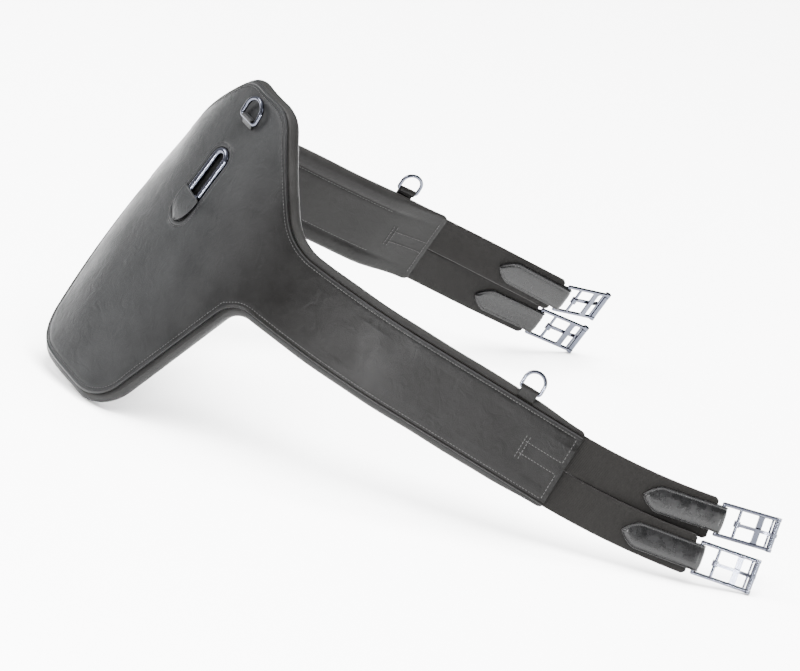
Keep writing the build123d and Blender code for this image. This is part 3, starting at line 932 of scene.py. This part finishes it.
def keeper_mesh(name, origin, directions, wire, half, tab_length, tab_out):
    """A leather loop round a ring's bar, with its tab running back from it onto the band."""
    reach_dir, bar_dir, out_dir = directions
    radius = wire + KEEPER_GAP
    path = []
    for share in (0.0, 0.35, 0.7, 0.95):
        rise = tab_out + (radius - tab_out) * share**2
        path.append((origin - reach_dir * tab_length * (1 - share) + out_dir * rise, out_dir))
    for degrees in range(80, -171, -16):
        angle = math.radians(degrees)
        normal = reach_dir * math.cos(angle) + out_dir * math.sin(angle)
        path.append((origin + normal * radius, normal))
    return strip(name, path, [half] * len(path), KEEPER_LEATHER, bar_dir, crown=0.1, bead=0.06)


along, across, out, wire, half = FRONT_RING
seat, directions = ring_seat(along, across, out)
keeper = keeper_mesh("front_keeper_leather", seat, directions, wire, half, 6.5, -3.6)
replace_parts(dress(keeper, SMOOTH), "front_ring_keeper")
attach(keeper, "shield")
across, out, wire, half = ARM_RING
for part, along in ARM_RINGS:
    seat, directions = ring_seat(along, across, out)
    keeper = keeper_mesh(f"{part}_keeper_leather", seat, directions, wire, half, 12.0, 0.3)
    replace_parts(dress(keeper, KEEPER), f"{part}_ring_keeper")
    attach(keeper, f"{part}_arm")


# --- elastic straps and their chapes ----------------------------------------------------
def strap_axes(side, level, pitch):
    """Origin and the lengthwise, sideways and outward directions of a strap's own plane."""
    sign = -1 if side == "near" else 1
    across = STRAP_SPACING if level == "front" else -STRAP_SPACING
    origin, out_dir, front, length = band_axes(sign * ARM_END)
    origin = origin + out_dir * ELASTIC_OUT + front * across + length * sign * HINGE_REACH
    x_dir = length * sign
    z_dir = out_dir
    y_dir = np.cross(z_dir, x_dir)
    angle = math.radians(pitch)
    x_turned = x_dir * math.cos(angle) - z_dir * math.sin(angle)
    z_turned = z_dir * math.cos(angle) + x_dir * math.sin(angle)
    return origin, x_turned, y_dir, z_turned


def strap_point(distance, sideways, heading, bend, front):
    """A point of the strap's flat outline."""
    start = math.radians(heading) * front
    end = start + math.radians(bend) * front * distance / STRAP_LENGTH
    radius = STRAP_LENGTH / (math.radians(bend) * front)
    x = radius * (math.sin(end) - math.sin(start)) - sideways * math.sin(end)
    y = radius * (math.cos(start) - math.cos(end)) + sideways * math.cos(end)
    return x, y, end


# The web: how far it is tucked in, where it stops short of the bar, and its clipped corner.
WEB_TUCK = 9.0
WEB_STOP = STRAP_LENGTH - 6.5
WEB_CLIP = 3.0
WEB_SIDES = 21


def web_height(share):
    """Half thickness of the elastic at a share of its half width, thinner at its edges."""
    return ELASTIC / 2 * (1 - 0.35 * abs(share) ** 8)


def elastic_mesh(name, axes, heading, bend, front, facing, fill):
    """The elastic strap, from inside the arm's end to its clipped end in the chape."""
    origin, x_dir, y_dir, z_dir = axes
    rings, uv = [], []
    for distance in spread(-WEB_TUCK, WEB_STOP, 2.0):
        wide = ELASTIC_WIDTH / 2 - max(0.0, distance - (WEB_STOP - WEB_CLIP))
        lean = 0.12 + fill * (max(0.0, distance) / WEB_STOP) ** 1.5
        section = [(share * wide, web_height(share)) for share in np.linspace(-1, 1, WEB_SIDES)]
        section += [(share * wide, -web_height(share)) for share in np.linspace(1, -1, WEB_SIDES)]
        ring, strip_uv = [], []
        for sideways, high in section:
            if sideways * facing > 0:
                sideways += facing * lean * abs(sideways) / wide
            if distance < 0:
                x, y = distance, sideways
            else:
                x, y, _ = strap_point(distance, sideways, heading, bend, front)
            wave = 0.25 * math.sin(distance / 19.0 + sideways / 31.0)
            wave *= min(1.0, max(0.0, distance / 30.0))
            ring.append(origin + x_dir * x + y_dir * y + z_dir * (high + wave))
            strip_uv.append((distance / UV_UNIT, sideways / UV_UNIT))
        rings.append(ring)
        uv.append(strip_uv)
    grid = np.array(rings)
    faces = ring_faces(grid.shape[0], grid.shape[1])
    return make_object(name, grid.reshape(-1, 3), faces, np.array(uv).reshape(-1, 2))


def chape_width(reach):
    """Half width of the chape at a distance back from the bar."""
    straight = CHAPE_LENGTH - CHAPE_TIP
    if reach <= straight:
        return CHAPE_WIDTH / 2
    share = min(1.0, (reach - straight) / CHAPE_TIP)
    return CHAPE_WIDTH / 2 * (1 - share**TIP_CURVE) ** 0.86 + 0.02


# The chape's sections, as distances back from its tip, and how far from the bar its faces close up.
CHAPE_STEPS = (
    0.0, 0.2, 0.6, 1.2, 2.2, 3.5, 5.0, 7.0, 9.5, 12.0, 15.0, 18.0, 26.0, 38.0, 50.0, 60.0, 66.0, 71.0,
)
CHAPE_OPENING = 12.0
CHAPE_SEAM = 2.2
CHAPE_SEAM_START = 11.0


def chape_mesh(name, bar, x_dir, y_dir, z_dir):
    """The chape: one strip of leather from its tip, round the bar and back along the other face."""
    high = ELASTIC / 2 + 0.1 + CHAPE_LEATHER / 2
    fold = BAR_HOLE + CHAPE_LEATHER / 2
    stations = []
    for step in CHAPE_STEPS:
        reach = CHAPE_LENGTH - step
        rise = high + (fold - high) * max(0.0, 1 - reach / CHAPE_OPENING) ** 2
        stations.append((reach, rise, chape_width(reach)))
    path, widths = [], []
    for reach, rise, width in stations:
        path.append((bar - x_dir * reach + z_dir * rise, z_dir))
        widths.append(width)
    for degrees in range(90, -91, -15):
        angle = math.radians(degrees)
        normal = x_dir * math.cos(angle) + z_dir * math.sin(angle)
        path.append((bar + normal * fold, normal))
        widths.append(CHAPE_WIDTH / 2)
    for reach, rise, width in stations[::-1]:
        path.append((bar - x_dir * reach - z_dir * rise, -z_dir))
        widths.append(width)
    return strip(name, path, widths, CHAPE_LEATHER, y_dir, crown=0.8, bead=0.35)


def chape_stitches(name, bar, x_dir, y_dir, z_dir):
    """Stitching round both faces of a chape, inside its raised edge."""
    rows = []
    high = ELASTIC / 2 + 0.3 + CHAPE_LEATHER
    half = CHAPE_WIDTH / 2 - CHAPE_SEAM
    straight = CHAPE_LENGTH - CHAPE_TIP
    for face in (1, -1):
        line = [(reach, half) for reach in spread(CHAPE_SEAM_START, straight, 2.0)]
        for degrees in range(5, 91, 5):
            share = math.sin(math.radians(degrees))
            line.append((straight + (CHAPE_TIP - CHAPE_SEAM) * share, half * (1 - share**TIP_CURVE) ** 0.9))
        line += [(reach, -wide) for reach, wide in line[::-1][1:]]
        path = []
        for reach, wide in line:
            path.append((bar - x_dir * reach + y_dir * wide + z_dir * face * high, z_dir * face))
        rows += stitch_row(path, 1.5, 0.6)
    return capsules(name, rows, 0.34)


for side, level, pitch, heading, bend, fill in STRAPS:
    front = 1 if side == "near" else -1
    facing = -front if level == "front" else front
    name = f"{side}_{level}"
    axes = strap_axes(side, level, pitch)
    origin, x_dir, y_dir, z_dir = axes
    elastic = elastic_mesh(f"{name}_elastic_web", axes, heading, bend, front, facing, fill)
    dress(elastic, ELASTIC_CLOTH)
    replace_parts(elastic, f"{name}_elastic")
    if level == "front":
        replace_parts(elastic, f"{side}_elastic_tails", f"{side}_end_patch")
    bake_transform(elastic)
    x, y, turn = strap_point(STRAP_LENGTH, 0.0, heading, bend, front)
    bar = origin + x_dir * x + y_dir * y
    bar_x = x_dir * math.cos(turn) + y_dir * math.sin(turn)
    bar_y = y_dir * math.cos(turn) - x_dir * math.sin(turn)
    chape = chape_mesh(f"{name}_chape_leather", bar, bar_x, bar_y, z_dir)
    dress(chape, GLOSS)
    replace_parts(chape, f"{name}_chape")
    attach(chape, f"{name}_strap")
    stitches = chape_stitches(f"{name}_chape_stitches", bar, bar_x, bar_y, z_dir)
    dress(stitches, DARK_THREAD)
    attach(stitches, f"{name}_strap")


# --- metal nodes carried over from the frame --------------------------------------------
for node_name, node in nodes.items():
    if node.hide_render:
        continue
    node.data.materials.clear()
    node.data.materials.append(SPRING if node_name == "gate_spring" else CHROME)


# --- floor, light and camera ------------------------------------------------------------
def plane_object(name, size, height):
    """A square floor, with its size and height in metres."""
    mesh = bpy.data.meshes.new(name)
    s = size / 2
    corners = [(-s, -s, height), (s, -s, height), (s, s, height), (-s, s, height)]
    mesh.from_pydata(corners, [], [(0, 1, 2, 3)])
    obj = bpy.data.objects.new(name, mesh)
    bpy.context.scene.collection.objects.link(obj)
    return obj


floor_material, _, floor_shader = shader("studio_floor")
floor_shader.inputs["Base Color"].default_value = (0.93, 0.93, 0.93, 1)
floor_shader.inputs["Roughness"].default_value = 0.9
floor = plane_object("studio_floor", 40.0, -0.0005)
floor.data.materials.append(floor_material)

# The room's light: brightest from one direction, with (position, colour) stops towards it.
SKY_FACING = (-0.45, 0.45, 0.77)
SKY_STOPS = (
    (0.12, (0.12, 0.125, 0.14, 1)),
    (0.42, (0.42, 0.43, 0.46, 1)),
    (0.75, (1.0, 1.0, 1.0, 1)),
)
world = bpy.data.worlds.new("studio")
bpy.context.scene.world = world
world.use_nodes = True
world_tree = world.node_tree
sky = world_tree.nodes["Background"]
direction = world_tree.nodes.new("ShaderNodeTexCoord").outputs["Generated"]
facing_sky = world_tree.nodes.new("ShaderNodeVectorMath")
facing_sky.operation = "DOT_PRODUCT"
facing_sky.inputs[1].default_value = SKY_FACING
world_tree.links.new(direction, facing_sky.inputs[0])
sky_ramp = world_tree.nodes.new("ShaderNodeValToRGB")
sky_ramp.color_ramp.elements.new(SKY_STOPS[1][0])
for element, (position, colour) in zip(sky_ramp.color_ramp.elements, SKY_STOPS):
    element.position = position
    element.color = colour
world_tree.links.new(facing_sky.outputs["Value"], sky_ramp.inputs["Fac"])
world_tree.links.new(sky_ramp.outputs["Color"], sky.inputs["Color"])
sky.inputs["Strength"].default_value = 1.25


def area_light(name, place, target, size, power):
    """A soft square light that points at a target; lengths in metres and power in watts."""
    light = bpy.data.lights.new(name, "AREA")
    light.size = size
    light.energy = power
    obj = bpy.data.objects.new(name, light)
    bpy.context.scene.collection.objects.link(obj)
    obj.location = place
    obj.rotation_mode = "QUATERNION"
    obj.rotation_quaternion = (Vector(target) - Vector(place)).to_track_quat("-Z", "Y")
    return obj


# The camera's place and axes are held in the girth's own frame, and its lens in millimetres.
CAMERA_PLACE = (-3488.9, -3849.5, 1511.6)
CAMERA_RIGHT = (0.70883485, -0.50505869, 0.49241129)
CAMERA_DOWN = (0.19237522, -0.53320211, -0.82382479)
CAMERA_AHEAD = (0.6786346, 0.67868345, -0.28079146)
LENS = 239.877
SENSOR_WIDTH = 36.0
camera_place = GIRTH_ORIGIN + TURN @ np.array(CAMERA_PLACE)
camera_right = TURN @ np.array(CAMERA_RIGHT)
camera_down = TURN @ np.array(CAMERA_DOWN)
camera_ahead = TURN @ np.array(CAMERA_AHEAD)
camera_data = bpy.data.cameras.new("camera")
camera = bpy.data.objects.new("camera", camera_data)
bpy.context.scene.collection.objects.link(camera)
bpy.context.scene.camera = camera
camera_data.sensor_width = SENSOR_WIDTH
camera_data.lens = LENS
camera_data.clip_end = 100.0
camera.matrix_world = Matrix((
    (camera_right[0], -camera_down[0], -camera_ahead[0], camera_place[0] * MM),
    (camera_right[1], -camera_down[1], -camera_ahead[1], camera_place[1] * MM),
    (camera_right[2], -camera_down[2], -camera_ahead[2], camera_place[2] * MM),
    (0, 0, 0, 1),
))

area_light("key", (-1.9, 1.5, 2.4), (-0.3, 0.2, 0.25), 1.2, 190)
top = area_light("top", (0.4, -0.4, 4.5), (0, 0, 0), 4.0, 2300)
top.visible_glossy = False
area_light("fill", (0.4, -3.0, 2.2), (0.1, -0.2, 0.1), 1.4, 40)


def glint(name, place, normal, distance, size, power):
    """A small soft light where a surface mirrors it to the camera."""
    mirrored = camera_ahead - normal * (2 * (camera_ahead @ normal))
    spot = place + mirrored * distance
    return area_light(name, tuple(spot * MM), tuple(place * MM), size, power)


# Where the streaks lie: along the near arm, and back from the near front strap's root.
ARM_STREAK = -274.0
STRAP_STREAK = 130.0
STREAK_TILT = 0.16
GLINT_DISTANCE = 1700.0
strap_root, strap_along, _, strap_out = strap_axes("near", "front", STRAPS[0][2])
strap_facing = strap_out + STREAK_TILT * strap_along
strap_facing = strap_facing / np.linalg.norm(strap_facing)
strap_spot = strap_root + strap_along * STRAP_STREAK
glint("chape_glint", strap_spot, strap_facing, GLINT_DISTANCE, 0.16, 44.0)
arm_spot = band_point(ARM_STREAK, 8.0, 0.2)
glint("arm_glint", arm_spot, band_axes(ARM_STREAK)[1], GLINT_DISTANCE, 0.2, 52.0)
